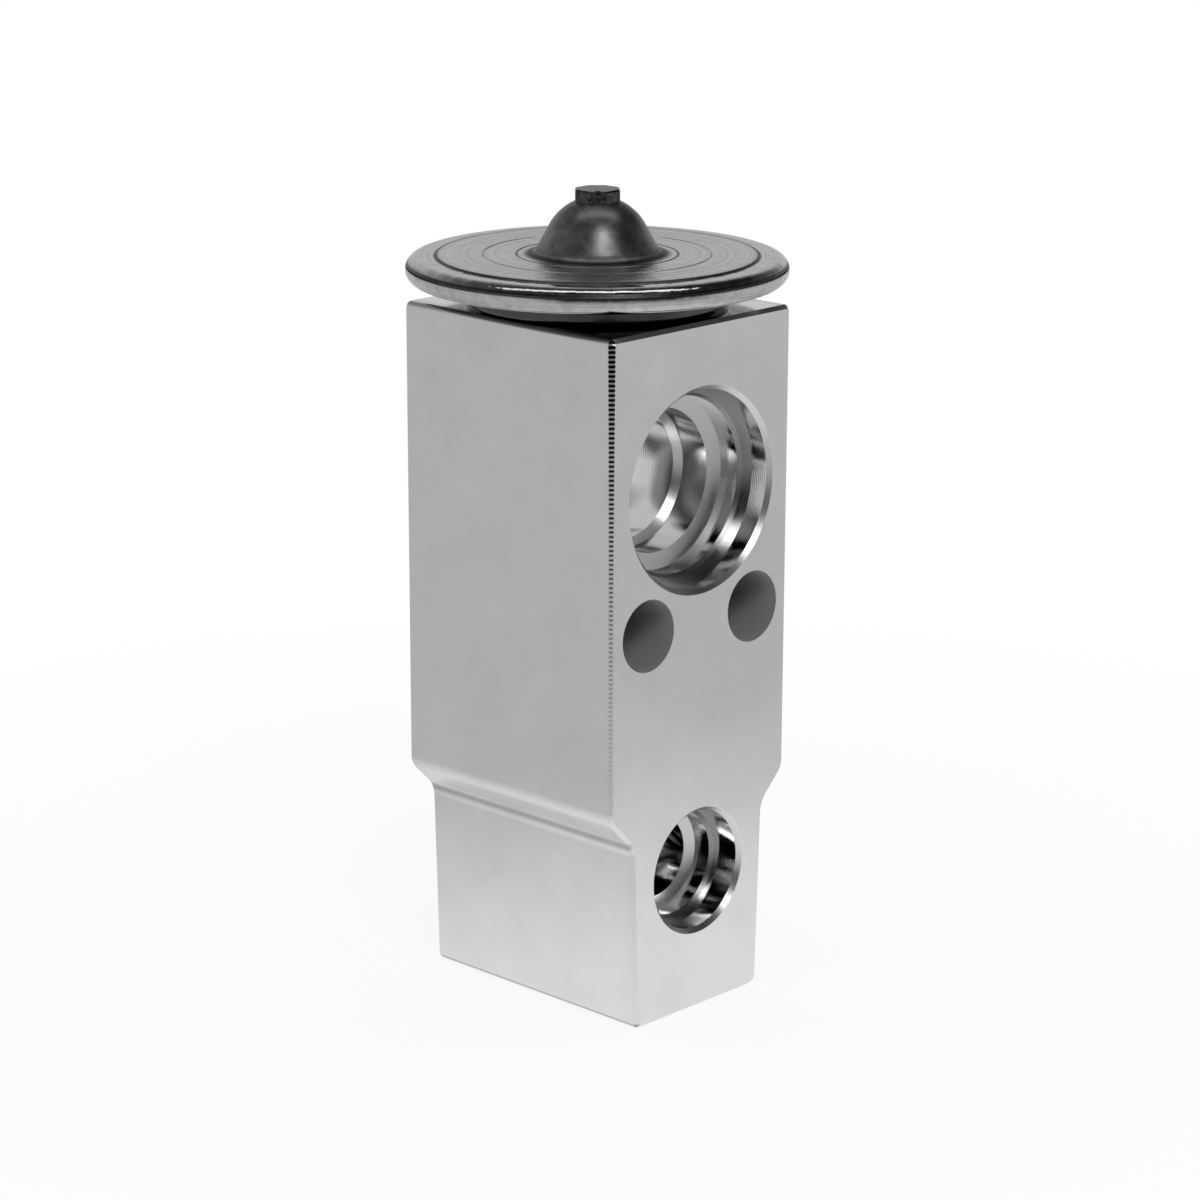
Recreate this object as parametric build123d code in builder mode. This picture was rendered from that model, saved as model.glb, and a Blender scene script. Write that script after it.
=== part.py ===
from build123d import *
from math import asin, cos, degrees, radians, sin, sqrt, tan
import os

os.makedirs("parts", exist_ok=True)

# Block-type thermostatic expansion valve, in millimetres.
# The origin is the centre of the block's flat foot, +Z is up, and the face with the
# suction outlet and the liquid inlet looks along -Y.

# Valve body: extruded profile, cut to length
body_width = 25.8
body_depth = 28.6
body_height = 70.75
foot_width = 18.3
neck_width = 19.5
neck_height = 19.5
shoulder_rise = 3.1
shoulder_crest_radius = 2.2
shoulder_root_radius = 2.6
top_edge_radius = 0.7
foot_edge_radius = 1.0
face_edge_break = 0.4
cut_margin = 1.0

# Suction passage, the same port on both faces
suction_height = 54.0
suction_socket_radius = 10.0
suction_socket_depth = 3.0
suction_seal_radius = 8.9
suction_seal_depth = 5.6
suction_passage_radius = 7.3
suction_passage_depth = 9.3
suction_core_radius = 6.6
port_edge_break = 0.45
seal_lead_in = 0.35
port_floor_fall = 0.45

# Liquid inlet port, front face
inlet_height = 14.65
inlet_socket_radius = 6.15
inlet_socket_depth = 3.1
inlet_seal_radius = 5.4
inlet_seal_depth = 5.4
inlet_passage_radius = 4.2

# Outlet port to the evaporator, rear face
outlet_height = 24.0
outlet_socket_radius = 7.1
outlet_socket_depth = 3.1
outlet_seal_radius = 6.3
outlet_seal_depth = 5.6
outlet_passage_radius = 3.2
outlet_overrun = 1.8
drill_tip_angle = 31

# Bolt holes through the block
bolt_height = 40.75
bolt_spacing = 15.2
bolt_hole_radius = 3.5
bolt_edge_break = 0.15

# Power head
head_thread_radius = 10.0
head_thread_depth = 6.4
head_floor_clearance = 0.4
thread_clearance = 0.02
head_gap = 0.3
head_seal_section = 1.6
seal_clearance = 0.02
rim_radius = 19.0
rim_thickness = 2.55
rim_clearance = 2.22
lid_thickness = 0.8
lid_crown = 0.15
lid_step_radius = 16.0
lid_ring_radius = 11.3
lid_ring_depth = 0.12
dome_ring_radius = 8.0
dome_radius = 5.45
dome_centre_rise = 0.25
dome_flank_angle = 29
dome_foot_radius = 1.5
drum_radius = 13.2
drum_wall = 1.0
drum_floor = 1.0
shelf_radius = 15.0
shelf_depth = 0.7
boss_bore_radius = 7.6
rim_bore_break = 0.3

# Charge plug: eight-sided head over a round shank, nicked on the side toward the ports
plug_flats = 4.4
plug_rise = 0.75
plug_head_height = 1.5
plug_shank_radius = 1.3
plug_shank_length = 3.0
plug_edge_break = 0.15
plug_nick_width = 0.5
plug_nick_depth = 0.35
plug_nick_length = 0.6
plug_nick_angle = 225

# Diaphragm and its stop disc
diaphragm_thickness = 0.15
diaphragm_seam_depth = 0.3
convolution_radius = 12.8
convolution_width = 2.4
convolution_depth = 0.35
stop_radius = 10.6
stop_hub_radius = 5.0
stop_hub_length = 3.2
stop_edge_radius = 0.4
stop_relief_radius = 6.5
stop_relief_depth = 0.3
valve_lift = 0.8
stop_gap = 0.05

# Rods and the seal between suction and liquid sides
rod_passage_radius = 4.6
sensing_rod_radius = 3.0
rod_end_gap = 0.3
rod_edge_break = 0.4
rod_spigot_radius = 2.2
rod_spigot_length = 2.0
press_clearance = 0.01
push_rod_radius = 0.8
push_rod_engagement = 4.0
guide_clearance = 0.03
seal_pocket_radius = 2.4
seal_pocket_depth = 4.6
washer_thickness = 0.5
push_nut_thickness = 0.3
push_nut_tooth_count = 6
push_nut_tooth_width = 0.5
push_nut_tooth_reach = 0.8
push_nut_dish = 0.35

# Valve chamber, seat and ball
chamber_radius = 5.5
chamber_headroom = 0.4
ball_radius = 2.0
seat_overlap = 0.12
seat_land = 0.6
seat_clearance = 0.02

# Ball holder and damping ring
holder_cup_radius = 2.4
holder_cup_bore_radius = 0.4
holder_cup_rise = 0.6
holder_flange_radius = 3.4
holder_flange_thickness = 1.0
holder_spigot_radius = 2.15
holder_spigot_length = 2.6
holder_edge_break = 0.25
damping_sheet = 0.2
damping_gap = 0.06
damping_leg_width = 2.2
damping_leg_length = 2.2
damping_leg_count = 4
damping_leg_first_angle = 45

# Superheat spring
spring_wire_radius = 0.45
spring_mean_radius = 2.8
spring_active_turns = 5.0
spring_closed_turns = 1.0

# Adjusting screw in the block's foot
screw_thread_radius = 6.0
screw_thread_length = 4.0
screw_inset = 1.2
screw_length = 8.5
screw_travel = 1.0
screw_running_clearance = 0.05
screw_land_clearance = 0.08
screw_edge_break = 0.4
screw_thread_runout = 0.1
screw_mouth_break = 0.7
screw_hex_flats = 6.0
screw_hex_depth = 2.6
spring_pocket_radius = 3.6
screw_web = 0.8
screw_seal_section = 1.2
screw_seal_top_land = 0.7
screw_groove_clearance = 0.04


# Places that follow from the sizes above
front_face = -body_depth / 2
rear_face = body_depth / 2
seal_pocket_floor = suction_height - suction_core_radius - seal_pocket_depth
rod_guide_radius = push_rod_radius + guide_clearance
head_recess_floor = body_height - head_thread_depth

seat_contact_radius = ball_radius / sqrt(2)
orifice_radius = seat_contact_radius - seat_overlap
seat_mouth_radius = seat_contact_radius + seat_land
chamber_top = inlet_height + inlet_passage_radius + chamber_headroom
seat_apex = chamber_top + seat_mouth_radius
ball_height = seat_apex - sqrt(2) * (ball_radius + seat_clearance)
push_rod_bottom = ball_height + ball_radius

drum_underside = body_height + head_gap
drum_floor_top = drum_underside + drum_floor
stop_underside = drum_floor_top + stop_gap + valve_lift
rim_bottom = body_height + rim_clearance
rim_round = rim_thickness / 2
rim_middle = rim_bottom + rim_round
rim_top = rim_bottom + rim_thickness
lid_seat = rim_top - lid_thickness
base_seat = lid_seat - diaphragm_thickness
lid_top = rim_top + lid_crown
dome_centre = lid_top + dome_centre_rise
dome_top = dome_centre + dome_radius

rod_floor = suction_height - sqrt(suction_core_radius**2 - sensing_rod_radius**2)
sensing_rod_bottom = rod_floor + valve_lift + rod_end_gap
hub_bottom = stop_underside - stop_hub_length
sensing_rod_top = hub_bottom + rod_spigot_length

ball_cup_apex = ball_height - sqrt(2) * (ball_radius + press_clearance)
holder_cup_floor = ball_cup_apex + holder_cup_bore_radius
holder_cup_top = ball_cup_apex + holder_cup_radius - holder_edge_break
holder_flange_top = holder_cup_floor + holder_cup_rise - holder_flange_thickness / 2
holder_flange_bottom = holder_flange_top - holder_flange_thickness

screw_top = screw_inset + screw_length
screw_step = screw_inset + screw_thread_length
thread_bore_top = screw_step + screw_travel + screw_thread_runout
spring_floor = screw_inset + screw_hex_depth + screw_web
screw_land_radius = chamber_radius - screw_land_clearance
groove_top = screw_top - screw_seal_top_land
groove_bottom = groove_top - screw_seal_section - 2 * screw_groove_clearance
groove_floor_radius = chamber_radius - seal_clearance - screw_seal_section - screw_groove_clearance


def half_section(points):
    """Face in the XZ plane inside a closed outline of (radius, height) points."""
    with BuildSketch(Plane.XZ) as section:
        with BuildLine():
            Polyline(*points, close=True)
        make_face()
    return section.sketch


def port_section(face, inward, height, steps):
    """Face in the YZ plane between the port's axis and its (depth, radius) steps."""
    outline = [(-cut_margin, 0), (-cut_margin, steps[0][1]), *steps]
    with BuildSketch(Plane.YZ) as section:
        with BuildLine():
            Polyline(*[(face + inward * d, height + r) for d, r in outline], close=True)
        make_face()
    return section.sketch


def stepped_port(socket_radius, socket_depth, seal_radius, seal_depth, passage_radius):
    """Steps of a port: broken edge, socket, lead-in, seal bore and conical floor."""
    return [
        (0, socket_radius + port_edge_break),
        (port_edge_break, socket_radius),
        (socket_depth, socket_radius),
        (socket_depth, seal_radius + seal_lead_in),
        (socket_depth + seal_lead_in, seal_radius),
        (seal_depth, seal_radius),
        (seal_depth + port_floor_fall, passage_radius),
    ]


def port_axis(height):
    return Axis((0, 0, height), (0, 1, 0))


def rim_radius_at(height):
    """Radius of the head's full-round rim at a height."""
    return rim_radius - rim_round + sqrt(rim_round**2 - (height - rim_middle) ** 2)


def dome_profile(cap_radius, foot_height):
    """Start of a dome's cap and foot of its flank, for one side of the sheet."""
    cap_start = (
        cap_radius * cos(radians(dome_flank_angle)),
        dome_centre + cap_radius * sin(radians(dome_flank_angle)),
    )
    flank_run = (cap_start[1] - foot_height) * tan(radians(dome_flank_angle))
    return cap_start, (cap_start[0] + flank_run, foot_height)


def ring_groove(radius):
    """Points of a pressed ring in the lid's top, from its outer edge inwards."""
    return (
        (radius + lid_ring_depth, lid_top),
        (radius, lid_top - lid_ring_depth),
        (radius - lid_ring_depth, lid_top),
    )


def ring_section(mean_radius, wire_radius, height):
    """Round section of an O-ring in the XZ plane."""
    with BuildSketch(Plane.XZ) as section:
        with Locations((mean_radius, height)):
            Circle(wire_radius)
    return section.sketch


# Port steps
suction_steps = stepped_port(
    suction_socket_radius,
    suction_socket_depth,
    suction_seal_radius,
    suction_seal_depth,
    suction_passage_radius,
)
core_depth = suction_passage_depth + suction_passage_radius - suction_core_radius
suction_steps += [
    (suction_passage_depth, suction_passage_radius),
    (core_depth, suction_core_radius),
    (body_depth / 2 + cut_margin, suction_core_radius),
    (body_depth / 2 + cut_margin, 0),
]
inlet_steps = stepped_port(
    inlet_socket_radius,
    inlet_socket_depth,
    inlet_seal_radius,
    inlet_seal_depth,
    inlet_passage_radius,
)
inlet_steps += [(body_depth / 2, inlet_passage_radius), (body_depth / 2, 0)]
outlet_steps = stepped_port(
    outlet_socket_radius,
    outlet_socket_depth,
    outlet_seal_radius,
    outlet_seal_depth,
    outlet_passage_radius,
)
outlet_end = body_depth / 2 + outlet_overrun
outlet_steps += [
    (outlet_end, outlet_passage_radius),
    (outlet_end + outlet_passage_radius * tan(radians(drill_tip_angle)), 0),
]


# Valve body
with BuildPart() as valve_body:
    with BuildSketch(Plane.XZ) as profile:
        rounded_corners = [
            (foot_width / 2, 0, foot_edge_radius),
            (neck_width / 2, neck_height, shoulder_root_radius),
            (body_width / 2, neck_height + shoulder_rise, shoulder_crest_radius),
            (body_width / 2, body_height, top_edge_radius),
        ]
        corners = [(x, z) for x, z, radius in rounded_corners]
        with BuildLine():
            Polyline((0, 0), *corners, (0, body_height), close=True)
        make_face()
        for x, z, radius in rounded_corners:
            fillet(profile.vertices().sort_by_distance((x, z))[0], radius)
        mirror(about=Plane.YZ)
    extrude(amount=body_depth / 2, both=True)
    port_faces = valve_body.faces().filter_by(Axis.Y)
    chamfer(port_faces.edges(), face_edge_break)

    # Suction passage, drilled from both faces
    for face, inward in ((front_face, 1), (rear_face, -1)):
        section = port_section(face, inward, suction_height, suction_steps)
        revolve(section, axis=port_axis(suction_height), mode=Mode.SUBTRACT)

    # Liquid inlet and outlet ports
    section = port_section(front_face, 1, inlet_height, inlet_steps)
    revolve(section, axis=port_axis(inlet_height), mode=Mode.SUBTRACT)
    section = port_section(rear_face, -1, outlet_height, outlet_steps)
    revolve(section, axis=port_axis(outlet_height), mode=Mode.SUBTRACT)

    # Recess for the head's thread, with the O-ring pocket, and the rod passage
    pocket_radius = head_thread_radius + head_seal_section
    pocket_floor = drum_underside - head_seal_section - seal_clearance
    head_recess = [
        (0, body_height + cut_margin),
        (pocket_radius, body_height + cut_margin),
        (pocket_radius, pocket_floor),
        (head_thread_radius, pocket_floor),
        (head_thread_radius, head_recess_floor),
        (rod_passage_radius, head_recess_floor),
        (rod_passage_radius, suction_height),
        (0, suction_height),
    ]
    revolve(half_section(head_recess), mode=Mode.SUBTRACT)

    # Pocket of the rod seal and the push rod's guide bore
    rod_bore = [
        (0, suction_height),
        (seal_pocket_radius, suction_height),
        (seal_pocket_radius, seal_pocket_floor),
        (rod_guide_radius, seal_pocket_floor),
        (rod_guide_radius, outlet_height),
        (0, outlet_height),
    ]
    revolve(half_section(rod_bore), mode=Mode.SUBTRACT)

    # Valve chamber from the foot up to the orifice
    chamber = [
        (0, -cut_margin),
        (screw_thread_radius + screw_mouth_break, -cut_margin),
        (screw_thread_radius + screw_mouth_break, 0),
        (screw_thread_radius, screw_mouth_break),
        (screw_thread_radius, thread_bore_top),
        (chamber_radius, thread_bore_top + screw_thread_radius - chamber_radius),
        (chamber_radius, chamber_top),
        (seat_mouth_radius, chamber_top),
        (orifice_radius, chamber_top + seat_mouth_radius - orifice_radius),
        (orifice_radius, outlet_height),
        (0, outlet_height),
    ]
    revolve(half_section(chamber), mode=Mode.SUBTRACT)

    # Bolt holes
    with Locations(*[Plane.XZ.offset(s * body_depth / 2) for s in (1, -1)]):
        with Locations((-bolt_spacing / 2, bolt_height), (bolt_spacing / 2, bolt_height)):
            CounterSinkHole(
                radius=bolt_hole_radius,
                counter_sink_radius=bolt_hole_radius + bolt_edge_break,
                depth=body_depth,
                counter_sink_angle=90,
            )
valve_body.part.label = "valve_body"


# Power head lid, its middle pressed up into a round cap on a straight flank
inner_dome = dome_radius - lid_thickness
cavity_top = lid_top - lid_thickness
outer_cap, outer_foot = dome_profile(dome_radius, lid_top)
inner_cap, inner_foot = dome_profile(inner_dome, cavity_top)
cap_sweep = 90 - dome_flank_angle
with BuildPart() as power_head_lid:
    with BuildSketch(Plane.XZ) as section:
        with BuildLine():
            seam_angle = degrees(asin((lid_seat - rim_middle) / rim_round))
            CenterArc((rim_radius - rim_round, rim_middle), rim_round, seam_angle, 90 - seam_angle)
            Polyline(
                (rim_radius - rim_round, rim_top),
                (lid_step_radius + lid_crown, rim_top),
                (lid_step_radius, lid_top),
                *ring_groove(lid_ring_radius),
                *ring_groove(dome_ring_radius),
                outer_foot,
                outer_cap,
            )
            CenterArc((0, dome_centre), dome_radius, dome_flank_angle, cap_sweep)
            Line((0, dome_top), (0, dome_top - lid_thickness))
            CenterArc((0, dome_centre), inner_dome, dome_flank_angle, cap_sweep)
            Polyline(
                inner_cap,
                inner_foot,
                (lid_step_radius - lid_thickness, cavity_top),
                (lid_step_radius - lid_thickness + lid_crown, lid_seat),
                (rim_radius_at(lid_seat), lid_seat),
            )
        make_face()
        dome_foot = section.vertices().sort_by_distance(outer_foot)[0]
        fillet(dome_foot, dome_foot_radius)
        dome_root = section.vertices().sort_by_distance(inner_foot)[0]
        fillet(dome_root, lid_thickness / 2)
    revolve()
    with BuildSketch(Plane.XY.offset(dome_centre)):
        Circle(plug_shank_radius + press_clearance)
    extrude(amount=dome_radius + cut_margin, mode=Mode.SUBTRACT)
power_head_lid.part.label = "power_head_lid"


# Charge plug, its underside hollowed to the dome's sphere
plug_top = dome_top + plug_rise
with BuildPart() as charge_plug:
    with BuildSketch(Plane.XY.offset(plug_top)):
        RegularPolygon(plug_flats / 2, 8, major_radius=False, rotation=22.5)
    extrude(amount=-plug_head_height)
    top_edges = charge_plug.faces().sort_by(Axis.Z)[-1].edges()
    chamfer(top_edges, plug_edge_break)
    with Locations((0, 0, dome_centre)):
        Sphere(dome_radius + press_clearance, mode=Mode.SUBTRACT)
    with BuildSketch(Plane.XY.offset(plug_top)):
        Circle(plug_shank_radius)
    extrude(amount=-plug_shank_length)
    with BuildSketch(Plane.XY.offset(plug_top)):
        with PolarLocations(plug_flats / 2, 1, plug_nick_angle):
            Rectangle(2 * plug_nick_length, plug_nick_width)
    extrude(amount=-plug_nick_depth, mode=Mode.SUBTRACT)
charge_plug.part.label = "charge_plug"


# Power head base
boss_radius = head_thread_radius - thread_clearance
boss_bottom = head_recess_floor + head_floor_clearance
with BuildPart() as power_head_base:
    with BuildSketch(Plane.XZ) as section:
        with BuildLine():
            seam_angle = degrees(asin((base_seat - rim_middle) / rim_round))
            CenterArc((rim_radius - rim_round, rim_middle), rim_round, -90, 90 + seam_angle)
            Polyline(
                (rim_radius_at(base_seat), base_seat),
                (shelf_radius, base_seat),
                (shelf_radius, base_seat - shelf_depth),
                (drum_radius - drum_wall, base_seat - shelf_depth),
                (drum_radius - drum_wall, drum_floor_top),
                (boss_bore_radius, drum_floor_top),
                (boss_bore_radius, boss_bottom),
                (boss_radius - rim_bore_break, boss_bottom),
                (boss_radius, boss_bottom + rim_bore_break),
                (boss_radius, drum_underside),
                (drum_radius, drum_underside),
                (drum_radius, rim_bottom),
                (rim_radius - rim_round, rim_bottom),
            )
        make_face()
        drum_corner = section.vertices().sort_by_distance((drum_radius, drum_underside))[0]
        fillet(drum_corner, rim_bore_break)
    revolve()
power_head_base.part.label = "power_head_base"


# Power head seal
with BuildPart() as power_head_seal:
    wire_radius = head_seal_section / 2 - seal_clearance
    ring_middle = head_thread_radius + head_seal_section / 2
    revolve(ring_section(ring_middle, wire_radius, drum_underside - head_seal_section / 2))
power_head_seal.part.label = "power_head_seal"


# Diaphragm: flat rim and centre with one rolled convolution between them
diaphragm_radius = rim_radius_at(lid_seat) - diaphragm_seam_depth
convolution_inner = convolution_radius - convolution_width / 2
convolution_outer = convolution_radius + convolution_width / 2
with BuildPart() as diaphragm:
    with BuildSketch(Plane.XZ) as section:
        with BuildLine():
            for surface in (base_seat, lid_seat):
                valley = (convolution_radius, surface - convolution_depth)
                Line((0, surface), (convolution_inner, surface))
                ThreePointArc((convolution_inner, surface), valley, (convolution_outer, surface))
                Line((convolution_outer, surface), (diaphragm_radius, surface))
            Line((0, base_seat), (0, lid_seat))
            Line((diaphragm_radius, base_seat), (diaphragm_radius, lid_seat))
        make_face()
    revolve()
diaphragm.part.label = "diaphragm"


# Diaphragm stop
with BuildPart() as diaphragm_stop:
    stop_outline = [
        (0, base_seat),
        (stop_radius, base_seat),
        (stop_radius, stop_underside),
        (stop_relief_radius, stop_underside),
        (stop_relief_radius - stop_relief_depth, stop_underside + stop_relief_depth),
        (stop_hub_radius, stop_underside + stop_relief_depth),
        (stop_hub_radius, hub_bottom),
        (rod_spigot_radius + press_clearance, hub_bottom),
        (rod_spigot_radius + press_clearance, sensing_rod_top),
        (0, sensing_rod_top),
    ]
    revolve(half_section(stop_outline))
    rim_edges = diaphragm_stop.edges().filter_by(GeomType.CIRCLE)
    rim_edges = rim_edges.filter_by(lambda e: e.radius > stop_radius - stop_gap)
    fillet(rim_edges, stop_edge_radius)
    hub_edge = diaphragm_stop.faces().sort_by(Axis.Z)[0].outer_wire().edges()
    chamfer(hub_edge, rod_edge_break)
diaphragm_stop.part.label = "diaphragm_stop"


# Sensing rod
with BuildPart() as sensing_rod:
    rod_outline = [
        (0, sensing_rod_bottom),
        (sensing_rod_radius - rod_edge_break, sensing_rod_bottom),
        (sensing_rod_radius, sensing_rod_bottom + rod_edge_break),
        (sensing_rod_radius, hub_bottom),
        (rod_spigot_radius, hub_bottom),
        (rod_spigot_radius, sensing_rod_top),
        (0, sensing_rod_top),
    ]
    revolve(half_section(rod_outline))
    with Locations(Plane.XY.offset(sensing_rod_bottom)):
        pocket_depth = 2 * push_rod_engagement
        Cylinder(push_rod_radius + press_clearance, pocket_depth, mode=Mode.SUBTRACT)
sensing_rod.part.label = "sensing_rod"


# Push rod
with BuildPart() as push_rod:
    with BuildSketch(Plane.XY.offset(push_rod_bottom)):
        Circle(push_rod_radius)
    extrude(amount=sensing_rod_bottom + push_rod_engagement - push_rod_bottom)
    chamfer(push_rod.edges().filter_by(GeomType.CIRCLE), push_rod_radius / 5)
push_rod.part.label = "push_rod"


# Rod seal, its washer and the push nut over them
rod_seal_section = seal_pocket_radius - rod_guide_radius - seal_clearance
rod_seal_middle = seal_pocket_floor + rod_seal_section / 2
with BuildPart() as rod_seal:
    ring_middle = rod_guide_radius + rod_seal_section / 2
    revolve(ring_section(ring_middle, rod_seal_section / 2, rod_seal_middle))
rod_seal.part.label = "rod_seal"

washer_bottom = seal_pocket_floor + rod_seal_section
with BuildPart() as seal_washer:
    with BuildSketch(Plane.XY.offset(washer_bottom)):
        Circle(seal_pocket_radius - seal_clearance)
        Circle(rod_guide_radius, mode=Mode.SUBTRACT)
    extrude(amount=washer_thickness)
seal_washer.part.label = "seal_washer"

push_nut_bottom = washer_bottom + washer_thickness
push_nut_hole = push_nut_tooth_reach + rod_guide_radius
with BuildPart() as push_nut:
    nut_outline = [
        (rod_guide_radius, push_nut_bottom + push_nut_dish),
        (push_nut_hole, push_nut_bottom),
        (seal_pocket_radius - seal_clearance, push_nut_bottom),
        (seal_pocket_radius - seal_clearance, push_nut_bottom + push_nut_thickness),
        (push_nut_hole, push_nut_bottom + push_nut_thickness),
        (rod_guide_radius, push_nut_bottom + push_nut_dish + push_nut_thickness),
    ]
    revolve(half_section(nut_outline))
    with BuildSketch(Plane.XY.offset(push_nut_bottom)):
        with PolarLocations(rod_guide_radius, push_nut_tooth_count):
            Rectangle(2 * push_nut_tooth_reach, push_nut_tooth_width / 2)
    extrude(amount=push_nut_dish + push_nut_thickness, mode=Mode.SUBTRACT)
push_nut.part.label = "push_nut"


# Valve ball
with BuildPart() as valve_ball:
    with Locations((0, 0, ball_height)):
        Sphere(ball_radius)
valve_ball.part.label = "valve_ball"


# Ball holder: conical cup, flange and spring spigot
with BuildPart() as ball_holder:
    holder_bottom = holder_flange_bottom - holder_spigot_length
    holder_outline = [
        (0, holder_cup_floor),
        (holder_cup_bore_radius, holder_cup_floor),
        (holder_cup_radius - holder_edge_break, holder_cup_top),
        (holder_cup_radius, holder_cup_top),
        (holder_cup_radius, holder_flange_top),
        (holder_flange_radius, holder_flange_top),
        (holder_flange_radius, holder_flange_bottom),
        (holder_spigot_radius, holder_flange_bottom),
        (holder_spigot_radius, holder_bottom + holder_edge_break),
        (holder_spigot_radius - holder_edge_break, holder_bottom),
        (0, holder_bottom),
    ]
    revolve(half_section(holder_outline))
ball_holder.part.label = "ball_holder"


# Damping ring: flat ring on the holder's flange, its arms bent up along the chamber wall
leg_radius = chamber_radius - damping_gap
with BuildPart() as damping_ring:
    with BuildSketch(Plane.XY.offset(holder_flange_top)):
        with PolarLocations(leg_radius / 2, damping_leg_count, damping_leg_first_angle):
            Rectangle(leg_radius + damping_sheet, damping_leg_width)
        Circle(holder_flange_radius)
        Circle(leg_radius, mode=Mode.INTERSECT)
        Circle(holder_cup_radius + press_clearance, mode=Mode.SUBTRACT)
    extrude(amount=damping_sheet)
    with BuildSketch(Plane.XY.offset(holder_flange_top)):
        with PolarLocations(leg_radius, damping_leg_count, damping_leg_first_angle):
            Rectangle(leg_radius / 2, damping_leg_width)
        Circle(leg_radius, mode=Mode.INTERSECT)
        Circle(leg_radius - damping_sheet, mode=Mode.SUBTRACT)
    extrude(amount=damping_leg_length)
damping_ring.part.label = "damping_ring"


# Superheat spring: open coils between closed, ground ends
with BuildPart() as superheat_spring:
    free_height = holder_flange_bottom - spring_floor
    closed_pitch = 2 * spring_wire_radius
    closed_height = closed_pitch * spring_closed_turns
    active_height = free_height - 2 * closed_height
    lower_coil = Helix(closed_pitch, closed_height, spring_mean_radius, (0, 0, spring_floor))
    middle_coil = Helix(
        active_height / spring_active_turns,
        active_height,
        spring_mean_radius,
        (0, 0, spring_floor + closed_height),
    )
    upper_coil = Helix(
        closed_pitch,
        closed_height,
        spring_mean_radius,
        (0, 0, holder_flange_bottom - closed_height),
    )
    for coil in (lower_coil, middle_coil, upper_coil):
        with BuildSketch(Plane(coil @ 0, z_dir=coil % 0)):
            Circle(spring_wire_radius)
        sweep(path=coil, is_frenet=True)
    with Locations((0, 0, spring_floor + free_height / 2)):
        Cylinder(spring_pocket_radius, free_height, mode=Mode.INTERSECT)
superheat_spring.part.label = "superheat_spring"


# Adjusting screw: threaded foot, sealed land, spring pocket and hex socket
with BuildPart() as adjusting_screw:
    thread_radius = screw_thread_radius - screw_running_clearance
    screw_outline = [
        (0, screw_inset),
        (thread_radius - screw_edge_break, screw_inset),
        (thread_radius, screw_inset + screw_edge_break),
        (thread_radius, screw_step),
        (screw_land_radius, screw_step),
        (screw_land_radius, groove_bottom),
        (groove_floor_radius, groove_bottom),
        (groove_floor_radius, groove_top),
        (screw_land_radius, groove_top),
        (screw_land_radius, screw_top),
        (spring_pocket_radius + screw_groove_clearance, screw_top),
        (spring_pocket_radius, screw_top - screw_groove_clearance),
        (spring_pocket_radius, spring_floor),
        (0, spring_floor),
    ]
    revolve(half_section(screw_outline))
    with BuildSketch(Plane.XY.offset(screw_inset)):
        RegularPolygon(screw_hex_flats / 2, 6, major_radius=False)
    extrude(amount=screw_hex_depth, mode=Mode.SUBTRACT)
adjusting_screw.part.label = "adjusting_screw"


# Adjusting screw seal
with BuildPart() as adjusting_screw_seal:
    wire_radius = screw_seal_section / 2
    ring_middle = chamber_radius - seal_clearance - wire_radius
    revolve(ring_section(ring_middle, wire_radius, (groove_top + groove_bottom) / 2))
adjusting_screw_seal.part.label = "adjusting_screw_seal"


pieces = (
    valve_body,
    power_head_lid,
    charge_plug,
    power_head_base,
    power_head_seal,
    diaphragm,
    diaphragm_stop,
    sensing_rod,
    push_rod,
    rod_seal,
    seal_washer,
    push_nut,
    valve_ball,
    ball_holder,
    damping_ring,
    superheat_spring,
    adjusting_screw,
    adjusting_screw_seal,
)
for piece in pieces:
    export_step(piece.part, f"parts/{piece.part.label}.step")
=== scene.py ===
"""Looks of a block-type thermostatic expansion valve: its metal and rubber finishes, the studio
and the camera. Lengths in the patterns are in millimetres, and object_mm() brings them to the part.
"""
import math

import bmesh
import bpy
from mathutils import Matrix, Vector

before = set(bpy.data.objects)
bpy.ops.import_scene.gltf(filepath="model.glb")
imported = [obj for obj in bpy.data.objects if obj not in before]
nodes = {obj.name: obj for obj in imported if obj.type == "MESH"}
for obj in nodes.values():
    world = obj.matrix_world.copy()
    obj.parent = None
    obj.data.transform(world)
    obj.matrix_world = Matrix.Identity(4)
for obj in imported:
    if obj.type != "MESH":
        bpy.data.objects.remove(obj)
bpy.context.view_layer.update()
scene = bpy.context.scene

# The valve's own sizes that its finishes follow, in millimetres
BLOCK_HALF_WIDTH = 12.9
BLOCK_HALF_DEPTH = 14.3
BLOCK_TOP = 70.75
HALF_EDGE_BREAK = 0.2
NECK_HALF_WIDTH = 9.75
NECK_TOP = 19.5
SHOULDER_TOP = 22.6
SOCKET_DEPTH = 3.05
BOLT_HEIGHT = 40.75
BOLT_HALF_SPACING = 7.6
BOLT_HOLE_RADIUS = 3.65
RIM_UNDERSIDE = 72.97
# Height of the dark band painted round the rim as a painted reflection, just above its seam
RIM_BAND_HEIGHT = 74.78
LID_STEP_RADIUS = 16.0
LID_RING_RADIUS = 11.3
DOME_RING_RADIUS = 8.0
DOME_FOOT_RADIUS = 6.7

# Beyond these distances from the middle plane a flank of the block, or of its neck, is die skin
BLOCK_SKIN = 11.5
NECK_SKIN = 8.0
# Rings that the boring tool left in the ports, in millimetres
PORT_RING_PITCH = 0.25
# Chatter that the cutter left down one upright edge, in millimetres: its teeth, the heights
# between which it grows, and its half width at the foot, what that gains at the top, and how
# far each tooth stands out
CHATTER_PITCH = 0.46
CHATTER_FOOT = 24.0
CHATTER_TOP = 70.0
CHATTER_HALF_WIDTH = 0.12
CHATTER_GAIN = 0.24
CHATTER_TOOTH = 0.03
# Colour of the cutter chatter and of the painted shade, over every metal of the block
CHATTER_AND_SHADE_COLOUR = "#101010"
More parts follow.
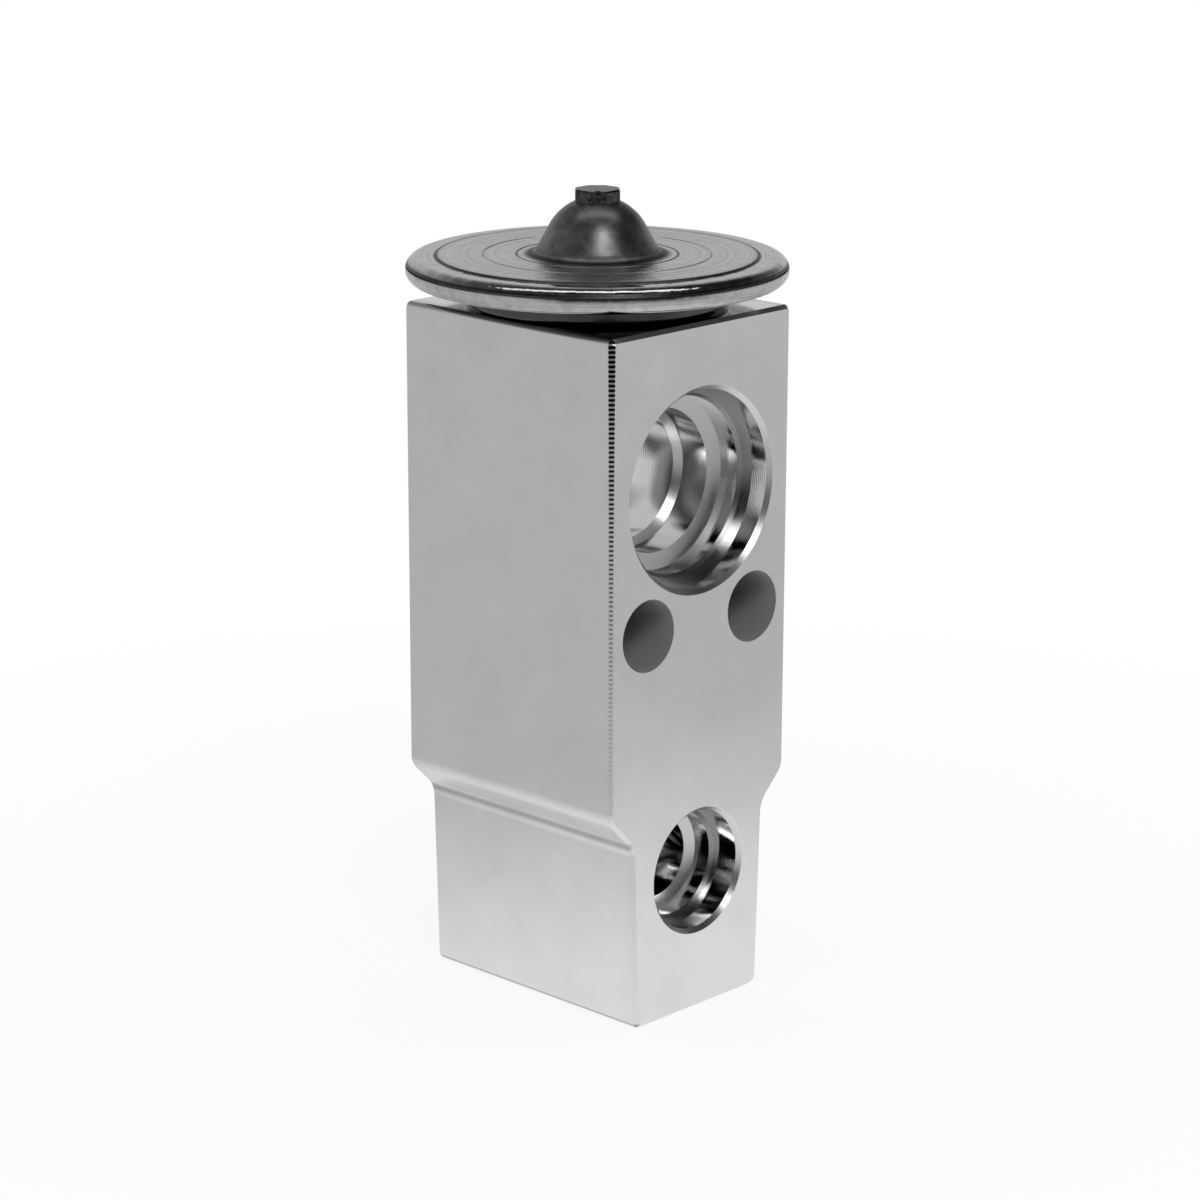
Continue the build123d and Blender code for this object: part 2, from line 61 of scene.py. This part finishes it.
# Directions over the floor: from the valve to the unlit room, and across the camera's view
TO_ROOM = (-0.42, -0.91, 0.0)
ACROSS_VIEW = (0.69, -0.72, 0.0)
# The point half-way up the valve that the lamps face, in metres
LAMP_AIM = (0, 0, 0.04)


def linear(hex_colour):
    """An sRGB colour such as "#b4b5b7" as the linear RGBA that a shader socket takes."""
    channels = [int(hex_colour[i : i + 2], 16) / 255 for i in (1, 3, 5)]
    curve = [c / 12.92 if c <= 0.04045 else ((c + 0.055) / 1.055) ** 2.4 for c in channels]
    return (*curve, 1.0)


def greys(*stops):
    """Linear grey levels at places from 0 to 1, as stops for a colour ramp."""
    return [(place, (grey, grey, grey, 1.0)) for place, grey in stops]


def add(tree, kind, inputs=(), stops=(), **settings):
    """Adds a node with its settings and colour stops, then sets or links its inputs.

    Inputs come as a list in the node's own order, or as a dict by name or number. A node given
    as an input is linked from its first output.
    """
    node = tree.nodes.new("ShaderNode" + kind)
    for name, value in settings.items():
        setattr(node, name, value)
    if stops:
        elements = node.color_ramp.elements
        while len(elements) < len(stops):
            elements.new(0.5)
        for element, (place, colour) in zip(elements, stops):
            element.position = place
            element.color = colour
    pairs = inputs.items() if isinstance(inputs, dict) else enumerate(inputs)
    for name, value in pairs:
        if isinstance(value, bpy.types.Node):
            value = value.outputs[0]
        if isinstance(value, bpy.types.NodeSocket):
            tree.links.new(value, node.inputs[name])
        else:
            node.inputs[name].default_value = value
    return node


def new_material(name):
    """An empty node material and its tree."""
    material = bpy.data.materials.new(name)
    material.use_nodes = True
    material.node_tree.nodes.clear()
    return material, material.node_tree


def object_mm(tree):
    """The point on the part in millimetres, as a vector and as its x, y and z."""
    place = add(tree, "TexCoord").outputs["Object"]
    place_mm = add(tree, "VectorMath", {0: place, "Scale": 1000.0}, operation="SCALE")
    return place_mm, add(tree, "SeparateXYZ", [place_mm]).outputs


def from_line(tree, beside, above):
    """How far a point is from a line, by its distances beside and above it."""
    both = add(tree, "CombineXYZ", [beside, above])
    return add(tree, "VectorMath", [both], operation="LENGTH").outputs["Value"]


def finish_surface(tree, relief, depth_mm, sockets):
    """The shader that a finish ends in, with its relief as a bump of that depth."""
    bump = add(tree, "Bump", {"Height": relief, "Distance": depth_mm / 1000, "Strength": 1.0})
    shader = add(tree, "BsdfPrincipled", {"Normal": bump, **sockets})
    add(tree, "OutputMaterial", {"Surface": shader})


def extruded_aluminium():
    """Extruded aluminium bar, tumbled to an even grey sheen, with milled ends and bored ports.

    To the eye: long faint die lines on the flanks, a fine grain all over, tool rings in the
    ports, cutter chatter down one upright edge and a face under the head that is cut like a
    mirror. Painted shade darkens the socket steps, the port cones, the bolt holes, the inner
    corner of the shoulder and the foot's edge.
    """
    material, tree = new_material("extruded_aluminium")
    place, (x, y, z) = object_mm(tree)
    from_middle = add(tree, "Math", [x], operation="ABSOLUTE")
    from_centre = add(tree, "Math", [y], operation="ABSOLUTE")
    normal = add(tree, "NewGeometry").outputs["Normal"]
    normal_x, normal_y, normal_z = add(tree, "SeparateXYZ", [normal]).outputs
    faces_flank = add(tree, "Math", [normal_x], operation="ABSOLUTE")
    faces_port = add(tree, "Math", [normal_y], operation="ABSOLUTE")

    # Die skin on the flanks, further out on the block than on its neck
    above_shoulder = add(tree, "Math", [z, SHOULDER_TOP], operation="GREATER_THAN")
    skin_starts = add(
        tree, "Math", [above_shoulder, BLOCK_SKIN - NECK_SKIN, NECK_SKIN],
        operation="MULTIPLY_ADD",
    )
    skin = add(tree, "Math", [from_middle, skin_starts], operation="GREATER_THAN")

    # The milled face under the head
    level = add(tree, "Math", [normal_z, 0.95], operation="GREATER_THAN")
    at_top = add(tree, "Math", [z, BLOCK_TOP - 0.5], operation="GREATER_THAN")
    top = add(tree, "Math", [level, at_top], operation="MULTIPLY")

    # Inside the ports and the bolt holes
    off_skin = add(tree, "Math", [1.0, skin], operation="SUBTRACT")
    behind_face = add(tree, "Math", [from_centre, BLOCK_HALF_DEPTH - 0.05], operation="LESS_THAN")
    in_port = add(tree, "Math", [off_skin, behind_face], operation="MULTIPLY")

    # The step at the end of each port's socket: rough from the end of the cutter, and darkened by
    # painted shade
    step_place = BLOCK_HALF_DEPTH - SOCKET_DEPTH - 0.2
    from_step = add(tree, "Math", [from_centre, step_place], operation="SUBTRACT")
    from_step = add(tree, "Math", [from_step], operation="ABSOLUTE")
    near_step = add(tree, "Math", [from_step, 0.35], operation="LESS_THAN")
    faces_out = add(tree, "Math", [faces_port, 0.5], operation="GREATER_THAN")
    ledge = add(tree, "Math", [faces_out, near_step], operation="MULTIPLY")

    # The cones and broken edges in each port, scuffed rough by the pipes and dimmed by painted
    # shade
    slopes_out = add(tree, "Math", [faces_port, 0.3], operation="GREATER_THAN")
    mouth = add(tree, "Math", [in_port, slopes_out], operation="MULTIPLY")

    # Bolt holes, left as drilled, their walls darkened by painted shade
    beside_bolt = add(tree, "Math", [from_middle, BOLT_HALF_SPACING], operation="SUBTRACT")
    above_bolt = add(tree, "Math", [z, BOLT_HEIGHT], operation="SUBTRACT")
    from_bolt = from_line(tree, beside_bolt, above_bolt)
    at_bolt = add(tree, "Math", [from_bolt, BOLT_HOLE_RADIUS + 0.03], operation="LESS_THAN")
    drilled = add(tree, "Math", [in_port, at_bolt], operation="MULTIPLY")

    # Painted shade in the inner corner of the shoulder
    beside_crease = add(tree, "Math", [from_middle, NECK_HALF_WIDTH + 0.35], operation="SUBTRACT")
    above_crease = add(tree, "Math", [z, NECK_TOP - 0.1], operation="SUBTRACT")
    from_crease = from_line(tree, beside_crease, above_crease)
    crease = add(
        tree, "MapRange",
        {"Value": from_crease, "From Min": 0.1, "From Max": 0.75, "To Min": 0.5, "To Max": 0.0},
        interpolation_type="SMOOTHSTEP",
    )
    # Painted contact shadow along the foot's edge, under the flanks
    foot = add(
        tree, "MapRange",
        {"Value": z, "From Min": 0.2, "From Max": 0.65, "To Min": 0.8, "To Max": 0.0},
    )
    on_flank = add(tree, "Math", [faces_flank, 0.3], operation="GREATER_THAN")
    foot = add(tree, "Math", [foot, on_flank], operation="MULTIPLY")

    # Cutter chatter on one upright edge of the port face: a dark line 0.8 mm wide at the top
    # of the block, which narrows and breaks up into dots half-way down
    beside_edge = add(tree, "Math", [x, BLOCK_HALF_WIDTH - HALF_EDGE_BREAK], operation="ADD")
    behind_edge = add(tree, "Math", [y, BLOCK_HALF_DEPTH - HALF_EDGE_BREAK], operation="ADD")
    from_edge = from_line(tree, beside_edge, behind_edge)
    teeth = add(tree, "Math", [z, 2 * math.pi / CHATTER_PITCH], operation="MULTIPLY")
    teeth = add(tree, "Math", [teeth], operation="SINE")
    force = add(
        tree, "MapRange", {"Value": z, "From Min": CHATTER_FOOT, "From Max": CHATTER_TOP}
    )
    force_squared = add(tree, "Math", [force, force], operation="MULTIPLY")
    reach = add(
        tree, "Math", [teeth, CHATTER_TOOTH, CHATTER_HALF_WIDTH], operation="MULTIPLY_ADD"
    )
    reach = add(tree, "Math", [force_squared, CHATTER_GAIN, reach], operation="MULTIPLY_ADD")
    within = add(tree, "Math", [reach, from_edge], operation="SUBTRACT")
    chatter = add(tree, "MapRange", {"Value": within, "From Min": -0.04, "From Max": 0.05})
    # Only the tips of the teeth bite at the foot, and all of the line does near the top
    bite = add(tree, "Math", [teeth, 0.6, -0.45], operation="MULTIPLY_ADD")
    bite = add(tree, "Math", [force, 1.5, bite], operation="MULTIPLY_ADD", use_clamp=True)
    chatter = add(tree, "Math", [chatter, bite], operation="MULTIPLY")

    # Die lines run along the depth of the block, 0.2 to 1 mm apart
    along_depth = add(tree, "VectorMath", [place, (0.3, 0.02, 1.0)], operation="MULTIPLY")
    die_lines = add(
        tree, "TexNoise", {"Vector": along_depth, "Scale": 2.4, "Detail": 3.0, "Roughness": 0.6}
    )
    # Tumbling grain, about 0.15 mm
    grain = add(tree, "TexNoise", {"Vector": place, "Scale": 6.5, "Detail": 2.0})
    # Slow clouds in the oxide, 6 mm and up
    clouds = add(
        tree, "TexNoise", {"Vector": place, "Scale": 0.16, "Detail": 3.0, "Roughness": 0.55}
    )
    rings = add(tree, "Math", [y, 2 * math.pi / PORT_RING_PITCH], operation="MULTIPLY")
    rings = add(tree, "Math", [rings], operation="SINE")

    tone = add(
        tree, "ValToRGB", [clouds], [(0.3, linear("#d6d6d6")), (0.7, linear("#dddddd"))]
    )
    bright = add(
        tree, "Mix", {"Factor": in_port, 6: tone, 7: linear("#f1f1f1")}, data_type="RGBA"
    ).outputs[2]
    # Cutter chatter, and painted shade on the socket steps, cones, bolt holes, crease and foot
    shade = chatter
    for area, strength in ((ledge, 0.7), (drilled, 0.36), (mouth, 0.3), (crease, 1.0), (foot, 1.0)):
        darkened = add(tree, "Math", [area, strength], operation="MULTIPLY")
        shade = add(tree, "Math", [shade, darkened], operation="MAXIMUM")
    marked_and_shaded = add(
        tree, "Mix", {"Factor": shade, 6: bright, 7: linear(CHATTER_AND_SHADE_COLOUR)}, data_type="RGBA"
    ).outputs[2]

    scuffed = add(tree, "Math", [ledge, mouth], operation="MAXIMUM")
    roughness = add(tree, "Math", [grain, 0.12, 0.26], operation="MULTIPLY_ADD")
    for area, rough in ((in_port, 0.07), (scuffed, 0.3), (drilled, 0.95), (top, 0.08)):
        roughness = add(tree, "Mix", {"Factor": area, 2: roughness, 3: rough})

    along_skin = add(tree, "Math", [faces_port, 0.5], operation="LESS_THAN")
    lined = add(tree, "Math", [skin, along_skin], operation="MULTIPLY")
    bored = add(tree, "Math", [rings, in_port], operation="MULTIPLY")
    off_top = add(tree, "Math", [1.0, top], operation="SUBTRACT")
    relief = add(tree, "Math", [die_lines, lined], operation="MULTIPLY")
    relief = add(tree, "Math", [grain, 0.25, relief], operation="MULTIPLY_ADD")
    relief = add(tree, "Math", [bored, 0.08, relief], operation="MULTIPLY_ADD")
    relief = add(tree, "Math", [relief, off_top], operation="MULTIPLY")
    sockets = {"Base Color": marked_and_shaded, "Roughness": roughness, "Metallic": 1.0}
    finish_surface(tree, relief, depth_mm=0.012, sockets=sockets)
    return material


def pressed_stainless(name, drum_painted_shade, dome_painted_shade):
    """Stainless sheet, pressed and spun to a semi-bright disc.

    To the eye: fine rings from the spinning tool, darker lines along the pressed steps, and a
    duller, mottled skin where the sheet was drawn deepest. Painted shade darkens the dome, its
    foot and the drum under the rim, and a dark band round the rim is a painted reflection.
    """
    material, tree = new_material(name)
    place, (x, y, z) = object_mm(tree)
    radius = from_line(tree, x, y)

    # Spinning rings, 0.15 to 0.6 mm apart
    rings = add(
        tree, "TexNoise", {"W": radius, "Scale": 2.6, "Detail": 3.0}, noise_dimensions="1D"
    )
    # Mottling from the press oil, 1 to 3 mm
    mottle = add(
        tree, "TexNoise", {"Vector": place, "Scale": 0.75, "Detail": 5.0, "Roughness": 0.65}
    )
    # Handling marks, 0.2 mm
    specks = add(tree, "TexNoise", {"Vector": place, "Scale": 4.5, "Detail": 2.0})
    # Shallow dents along the rolled rim, 1 to 3 mm
    dents = add(tree, "TexNoise", {"Vector": place, "Scale": 0.6, "Detail": 2.0})

    rim = add(tree, "Math", [radius, LID_STEP_RADIUS], operation="GREATER_THAN")
    spun = add(tree, "Math", [radius, DOME_FOOT_RADIUS], operation="GREATER_THAN")
    plate = add(tree, "Math", [spun, rim], operation="SUBTRACT")
    ringed = add(tree, "Math", [rings, mottle], operation="ADD")
    ringed = add(tree, "Math", [ringed, 0.5], operation="MULTIPLY")
    stain = add(tree, "Mix", {"Factor": spun, 2: mottle, 3: ringed})
    tone = add(
        tree, "ValToRGB", [stain], [(0.35, linear("#9e9e9e")), (0.62, linear("#cacaca"))]
    )

    # Painted reflection: a dark band round the rim, just above the seam that is rolled into it
    from_rim_band = add(tree, "Math", [z, RIM_BAND_HEIGHT], operation="SUBTRACT")
    from_rim_band = add(tree, "Math", [from_rim_band], operation="ABSOLUTE")
    rim_band = add(
        tree, "MapRange",
        {"Value": from_rim_band, "From Min": 0.16, "From Max": 0.36, "To Min": 0.93, "To Max": 0.0},
    )
    darker_lines_and_shade = add(tree, "Math", [rim_band, rim], operation="MULTIPLY")
    # Darker lines along the pressed steps, and painted shade at the foot of the dome
    for step_radius, width, strength in (
        (LID_STEP_RADIUS, 0.4, 0.9),
        (LID_RING_RADIUS, 0.25, 0.25),
        (DOME_RING_RADIUS, 0.3, 0.6),
        (DOME_FOOT_RADIUS, 1.0, 0.95),
    ):
        away = add(tree, "Math", [radius, step_radius], operation="SUBTRACT")
        away = add(tree, "Math", [away], operation="ABSOLUTE")
        line = add(
            tree, "MapRange",
            {"Value": away, "From Max": width, "To Min": strength, "To Max": 0.0},
            interpolation_type="SMOOTHSTEP",
        )
        darker_lines_and_shade = add(tree, "Math", [line, darker_lines_and_shade], operation="MAXIMUM")

    # Painted shade on the drawn dome and on the drum under the rim, darker than the disc
    dome = add(
        tree, "MapRange",
        {"Value": radius, "From Min": DOME_FOOT_RADIUS - 0.6, "From Max": DOME_FOOT_RADIUS - 0.1,
         "To Min": dome_painted_shade, "To Max": 0.0},
    )
    under_rim = add(tree, "Math", [z, RIM_UNDERSIDE + 0.05], operation="LESS_THAN")
    drum = add(tree, "Math", [under_rim, drum_painted_shade], operation="MULTIPLY")
    shade = add(tree, "Math", [darker_lines_and_shade, dome], operation="MAXIMUM")
    shade = add(tree, "Math", [shade, drum], operation="MAXIMUM")
    colour = add(
        tree, "Mix", {"Factor": shade, 6: tone, 7: linear("#141414")}, data_type="RGBA"
    ).outputs[2]

    # The rolled rim is polished by its tool, the disc less so and the drawn dome least
    finish = add(
        tree, "MapRange",
        {"Value": radius, "From Min": LID_STEP_RADIUS, "From Max": LID_STEP_RADIUS + 0.6,
         "To Min": 0.14, "To Max": 0.05},
    )
    roughness = add(tree, "Math", [mottle, 0.1, finish], operation="MULTIPLY_ADD")
    roughness = add(tree, "Math", [dome, 0.25, roughness], operation="MULTIPLY_ADD")
    roughness = add(tree, "Math", [darker_lines_and_shade, 0.3, roughness], operation="MULTIPLY_ADD")

    rings_on_plate = add(tree, "Math", [rings, plate], operation="MULTIPLY")
    dents_on_rim = add(tree, "Math", [dents, rim], operation="MULTIPLY")
    relief = add(tree, "Math", [rings_on_plate, 1.6], operation="MULTIPLY")
    relief = add(tree, "Math", [specks, 0.1, relief], operation="MULTIPLY_ADD")
    relief = add(tree, "Math", [dents_on_rim, 2.2, relief], operation="MULTIPLY_ADD")
    sockets = {"Base Color": colour, "Roughness": roughness, "Metallic": 1.0}
    finish_surface(tree, relief, depth_mm=0.03, sockets=sockets)
    return material


def plain_metal(name, dark, light, grain_mm, roughness, depth_mm):
    """A bare metal in two near tones, its grain that many millimetres wide."""
    material, tree = new_material(name)
    place, _ = object_mm(tree)
    grain = add(
        tree, "TexNoise", {"Vector": place, "Scale": 1 / grain_mm, "Detail": 4.0, "Roughness": 0.6}
    )
    tone = add(tree, "ValToRGB", [grain], [(0.35, linear(dark)), (0.65, linear(light))])
    rough = add(tree, "Math", [grain, 0.15, roughness], operation="MULTIPLY_ADD")
    sockets = {"Base Color": tone, "Roughness": rough, "Metallic": 1.0}
    finish_surface(tree, grain, depth_mm, sockets)
    return material


def turned_metal(name, dark, light, pitch_mm, roughness):
    """Bar turned in a lathe: tool rings at that pitch along its length, on two near tones."""
    material, tree = new_material(name)
    place, (_, _, z) = object_mm(tree)
    feed = add(tree, "Math", [z, 2 * math.pi / pitch_mm], operation="MULTIPLY")
    feed = add(tree, "Math", [feed], operation="SINE")
    stain = add(tree, "TexNoise", {"Vector": place, "Scale": 0.9, "Detail": 4.0})
    tone = add(tree, "ValToRGB", [stain], [(0.35, linear(dark)), (0.65, linear(light))])
    rough = add(tree, "Math", [stain, 0.12, roughness], operation="MULTIPLY_ADD")
    sockets = {"Base Color": tone, "Roughness": rough, "Metallic": 1.0}
    finish_surface(tree, feed, depth_mm=0.006, sockets=sockets)
    return material


def moulded_rubber():
    """Moulded black refrigerant-proof rubber: even, dull, with a fine mould grain and pale dust."""
    material, tree = new_material("seal_rubber")
    place, _ = object_mm(tree)
    grain = add(tree, "TexNoise", {"Vector": place, "Scale": 5.0, "Detail": 3.0})
    dust = add(tree, "TexNoise", {"Vector": place, "Scale": 0.8, "Detail": 5.0})
    tone = add(tree, "ValToRGB", [dust], [(0.45, linear("#161616")), (0.75, linear("#2a2a29"))])
    rough = add(tree, "Math", [dust, 0.2, 0.5], operation="MULTIPLY_ADD")
    sockets = {"Base Color": tone, "Roughness": rough, "Metallic": 0.0, "IOR": 1.52}
    finish_surface(tree, grain, depth_mm=0.02, sockets=sockets)
    return material


def dress(material, *names):
    """Gives a finish to CAD nodes through their material slots."""
    for name in names:
        node = nodes[name]
        if not node.material_slots:
            node.data.materials.append(material)
        for material_slot in node.material_slots:
            material_slot.material = material


def photo_camera():
    """The camera, at the photograph's place and with its lens."""
    yaw, down, roll = (math.radians(angle) for angle in (46.283, 15.587, -0.163))
    forward = Vector(
        (math.sin(yaw) * math.cos(down), math.cos(yaw) * math.cos(down), -math.sin(down))
    )
    level_right = Vector((math.cos(yaw), -math.sin(yaw), 0))
    level_down = forward.cross(level_right)
    right = math.cos(roll) * level_right + math.sin(roll) * level_down
    low = math.cos(roll) * level_down - math.sin(roll) * level_right
    data = bpy.data.cameras.new("photo_camera")
    data.sensor_width = 36
    data.lens = 107.41
    camera = bpy.data.objects.new("photo_camera", data)
    scene.collection.objects.link(camera)
    turn = Matrix((right, -low, -forward)).transposed().to_4x4()
    camera.matrix_world = Matrix.Translation((-0.25258, -0.24201, 0.13770)) @ turn
    scene.camera = camera


def mirrored_rays(tree):
    """The light path's outputs, and a mask of the rays that metal or glass sends on."""
    path = add(tree, "LightPath").outputs
    mirrored = add(
        tree, "Math", [path["Is Glossy Ray"], path["Is Transmission Ray"]], operation="MAXIMUM"
    )
    return path, mirrored


def studio_floor():
    """A round pale table top. The camera sees it white, with the valve's shadow still on it."""
    shape = bmesh.new()
    bmesh.ops.create_circle(shape, cap_ends=True, segments=96, radius=0.24)
    mesh = bpy.data.meshes.new("table_top")
    shape.to_mesh(mesh)
    shape.free()
    floor = bpy.data.objects.new("table_top", mesh)
    scene.collection.objects.link(floor)

    material, tree = new_material("white_table_top")
    place, _ = object_mm(tree)
    path, mirrored = mirrored_rays(tree)
    # Near the valve, a share of the lit paper comes through the white, and the shadow with it
    from_valve = add(tree, "VectorMath", [place], operation="LENGTH").outputs["Value"]
    share = add(
        tree, "MapRange",
        {"Value": from_valve, "From Min": 30.0, "From Max": 150.0, "To Min": 0.88, "To Max": 1.0},
    )
    # Painted pool of light, seen only in the metal: the paper is white at the valve's foot and
    # falls away round it
    from_pool = add(
        tree, "VectorMath", [place, (12.0, -12.0, 0.0)], operation="DISTANCE"
    ).outputs["Value"]
    pool = add(tree, "Math", [from_pool, 200.0], operation="DIVIDE")
    painted_pool_level = add(
        tree, "ValToRGB", [pool],
        greys((0.12, 1.0), (0.24, 0.90), (0.34, 0.74), (0.42, 0.61), (0.6, 0.61), (1.0, 0.63)),
    )
    level = add(tree, "Mix", {"Factor": mirrored, 2: 1.0, 3: painted_pool_level})
    paper = add(tree, "BsdfDiffuse", {"Color": linear("#f2f2f2")})
    white = add(tree, "Emission", {"Color": (1, 1, 1, 1), "Strength": level})
    shown = add(tree, "Math", [path["Is Camera Ray"], share], operation="MULTIPLY")
    shown = add(tree, "Math", [shown, mirrored], operation="MAXIMUM")
    surface = add(tree, "MixShader", [shown, paper, white])
    add(tree, "OutputMaterial", {"Surface": surface})
    mesh.materials.append(material)


def studio_world():
    """A white sweep behind and beside the valve, and the unlit room in front of it.

    The camera sees white all round. Metal shows the sweep, a dark flag on the camera's right
    and the room, each by its height.
    """
    world = bpy.data.worlds.new("studio")
    scene.world = world
    world.use_nodes = True
    tree = world.node_tree
    tree.nodes.clear()
    direction = add(tree, "TexCoord").outputs["Generated"]
    height = add(tree, "SeparateXYZ", [direction]).outputs["Z"]
    height = add(tree, "Math", [height, 0.5, 0.5], operation="MULTIPLY_ADD")
    level_way = add(tree, "VectorMath", [direction, (1.0, 1.0, 0.0)], operation="MULTIPLY")
    level_way = add(tree, "VectorMath", [level_way], operation="NORMALIZE")

    seen = add(
        tree, "ValToRGB", [height], greys((0.0, 0.62), (0.68, 0.60), (0.86, 0.12), (1.0, 0.01))
    )
    for way, starts, full, levels in (
        (ACROSS_VIEW, 0.1, 0.5,
         greys((0.0, 0.68), (0.58, 0.67), (0.66, 0.2), (0.8, 0.02), (1.0, 0.01))),
        (TO_ROOM, 0.4, 0.8,
         greys((0.0, 0.62), (0.46, 0.4), (0.55, 0.05), (0.65, 0.005), (1.0, 0.005))),
    ):
        towards = add(
            tree, "VectorMath", [level_way, way], operation="DOT_PRODUCT"
        ).outputs["Value"]
        towards = add(
            tree, "MapRange", {"Value": towards, "From Min": starts, "From Max": full},
            interpolation_type="SMOOTHSTEP",
        )
        screen = add(tree, "ValToRGB", [height], levels)
        seen = add(tree, "Mix", {"Factor": towards, 2: seen, 3: screen})

    path, mirrored = mirrored_rays(tree)
    level = add(tree, "Mix", {"Factor": mirrored, 2: 0.5, 3: seen})
    level = add(tree, "Mix", {"Factor": path["Is Camera Ray"], 2: level, 3: 1.0})
    backdrop = add(tree, "Background", {"Color": (1, 1, 1, 1), "Strength": level})
    add(tree, "OutputWorld", {"Surface": backdrop})


def softbox(name, place, width, depth, power):
    """An area lamp that faces the valve, its width across the camera's view."""
    data = bpy.data.lights.new(name, "AREA")
    data.shape = "RECTANGLE"
    data.size = width
    data.size_y = depth
    data.energy = power
    lamp = bpy.data.objects.new(name, data)
    scene.collection.objects.link(lamp)
    lamp.location = place
    away = (lamp.location - Vector(LAMP_AIM)).normalized()
    across = Vector((0.691, -0.723, 0))
    across = (across - across.dot(away) * away).normalized()
    turn = Matrix((across, away.cross(across), away)).transposed()
    lamp.rotation_euler = turn.to_euler()


photo_camera()
scene.view_settings.view_transform = "Standard"
studio_world()
studio_floor()
softbox(
    "overhead_softbox", Vector((0.03, 0.03, 0.60)), width=0.64, depth=0.15, power=0.55
)
softbox(
    "front_softbox", Vector((-0.28, -0.48, 0.56)), width=0.30, depth=0.24, power=1.7
)

dress(extruded_aluminium(), "valve_body")
dress(
    pressed_stainless("stainless_steel_lid", drum_painted_shade=0.0, dome_painted_shade=0.7), "power_head_lid"
)
dress(
    pressed_stainless("stainless_steel_base", drum_painted_shade=0.85, dome_painted_shade=0.0), "power_head_base"
)
# Cold-headed steel, blackened by its heat treatment
dress(
    plain_metal(
        "plug_steel", "#2c2c2c", "#5a5a5a", grain_mm=0.35, roughness=0.22, depth_mm=0.02
    ),
    "charge_plug",
)
# Hardened strip, blued to a dark even skin
dress(
    plain_metal(
        "spring_steel", "#6b6c6f", "#8b8c8f", grain_mm=0.5, roughness=0.22, depth_mm=0.004
    ),
    "diaphragm", "push_nut", "damping_ring", "superheat_spring",
)
# Centreless-ground and polished steel
dress(
    plain_metal(
        "ground_steel", "#a9abad", "#c4c5c6", grain_mm=0.2, roughness=0.08, depth_mm=0.001
    ),
    "push_rod", "valve_ball", "ball_holder",
)
dress(
    turned_metal("turned_brass", "#9f7f3d", "#c39d55", pitch_mm=0.25, roughness=0.18),
    "diaphragm_stop", "seal_washer",
)
dress(
    turned_metal("turned_aluminium", "#a6a7a9", "#bdbec0", pitch_mm=0.25, roughness=0.25),
    "sensing_rod", "adjusting_screw",
)
dress(moulded_rubber(), "power_head_seal", "rod_seal", "adjusting_screw_seal")
